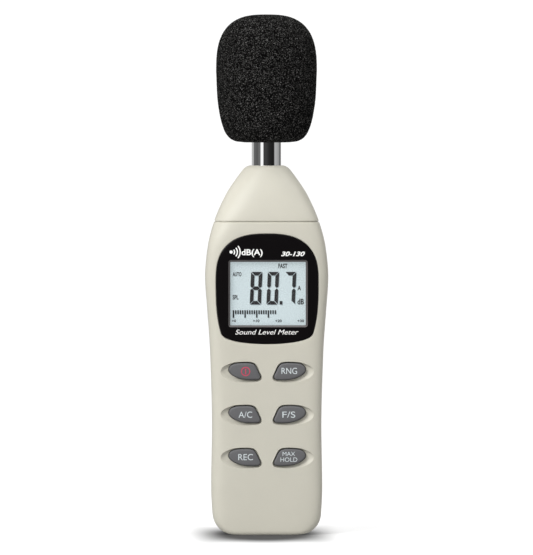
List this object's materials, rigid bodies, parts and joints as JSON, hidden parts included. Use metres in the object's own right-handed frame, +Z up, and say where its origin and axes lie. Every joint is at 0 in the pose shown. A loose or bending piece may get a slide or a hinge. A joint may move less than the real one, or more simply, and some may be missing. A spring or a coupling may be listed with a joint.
{
  "type": "sound level meter",
  "caption": "Hand-held sound level meter: waisted plastic case with display and soft keys, tapered nose, metal microphone tube and a pull-off foam windscreen.",
  "frame": {"origin": "middle of the flat bottom end of the case, on the line of the microphone tube's axis", "axes": "+Z up from the bottom end to the windscreen, -Y out of the display and the keys, +Y out of the battery door and the tripod insert, +X to the right seen from the front"},
  "size_m": [0.057, 0.0486, 0.241],
  "materials": {
    "casing": "satin",
    "foam": "matte",
    "lens": "gloss",
    "window": "gloss",
    "lcd": "satin",
    "lcd_frame": "matte",
    "zebra": "matte",
    "key": "matte",
    "carbon": "matte",
    "board": "satin",
    "chip": "satin",
    "capacitor": "satin",
    "connector": "matte",
    "trimmer": "satin",
    "brass": "satin",
    "chrome": "polished",
    "steel": "satin",
    "capsule": "satin",
    "grid": "satin",
    "cable": "matte",
    "battery": "gloss",
    "snap": "matte",
    "lead_red": "satin",
    "lead_black": "satin"
  },
  "bodies": {
    "casing": {"front_shell": "casing", "rear_shell": "casing", "nose_cone": "casing", "display_bezel": "lens", "display_window": "window", "lcd_panel": "lcd", "lcd_frame": "lcd_frame", "zebra_strip_upper": "zebra", "zebra_strip_lower": "zebra", "keypad_mat": "key", "main_board": "board", "processor_chip": "chip", "converter_chip": "chip", "preamp_chip": "chip", "capacitor_upper": "capacitor", "capacitor_lower": "capacitor", "mic_connector": "connector", "trimmer_body": "trimmer", "mic_tube": "chrome", "tube_nut": "steel", "mic_capsule": "capsule", "mic_grid": "grid", "mic_cable": "cable", "battery": "battery", "battery_snap": "snap", "lead_positive": "lead_red", "lead_negative": "lead_black", "tripod_insert": "brass", "case_screw_1": "steel", "board_screw_1": "steel", "case_screw_2": "steel", "board_screw_2": "steel", "case_screw_3": "steel", "board_screw_3": "steel", "case_screw_4": "steel", "board_screw_4": "steel"},
    "windscreen": {"windscreen": "foam"},
    "battery_door": {"battery_door": "casing", "battery_pad": "foam"},
    "trimmer_rotor": {"trimmer_rotor": "brass"},
    "key_power": {"key_power": "key", "pill_power": "carbon"},
    "key_range": {"key_range": "key", "pill_range": "carbon"},
    "key_weighting": {"key_weighting": "key", "pill_weighting": "carbon"},
    "key_response": {"key_response": "key", "pill_response": "carbon"},
    "key_record": {"key_record": "key", "pill_record": "carbon"},
    "key_max_hold": {"key_max_hold": "key", "pill_max_hold": "carbon"}
  },
  "joints": [
    {"name": "windscreen_slide", "type": "slide", "parent": "casing", "child": "windscreen", "axis": [0, 0, 1], "range_m": [0, 0.049]},
    {"name": "battery_door_slide", "type": "slide", "parent": "casing", "child": "battery_door", "axis": [0, 0, -1], "range_m": [0, 0.066], "stiffness_N_per_m": 200},
    {"name": "trimmer_turn", "type": "hinge", "parent": "casing", "child": "trimmer_rotor", "pos_m": [0.0226, -0.0059, 0.104], "axis": [1, 0, 0], "range_deg": [-135, 135]},
    {"name": "key_power_press", "type": "slide", "parent": "casing", "child": "key_power", "axis": [0, 1, 0], "range_m": [0, 0.00075], "stiffness_N_per_m": 60},
    {"name": "key_range_press", "type": "slide", "parent": "casing", "child": "key_range", "axis": [0, 1, 0], "range_m": [0, 0.00075], "stiffness_N_per_m": 60},
    {"name": "key_weighting_press", "type": "slide", "parent": "casing", "child": "key_weighting", "axis": [0, 1, 0], "range_m": [0, 0.00075], "stiffness_N_per_m": 60},
    {"name": "key_response_press", "type": "slide", "parent": "casing", "child": "key_response", "axis": [0, 1, 0], "range_m": [0, 0.00075], "stiffness_N_per_m": 60},
    {"name": "key_record_press", "type": "slide", "parent": "casing", "child": "key_record", "axis": [0, 1, 0], "range_m": [0, 0.00075], "stiffness_N_per_m": 60},
    {"name": "key_max_hold_press", "type": "slide", "parent": "casing", "child": "key_max_hold", "axis": [0, 1, 0], "range_m": [0, 0.00075], "stiffness_N_per_m": 60}
  ]
}
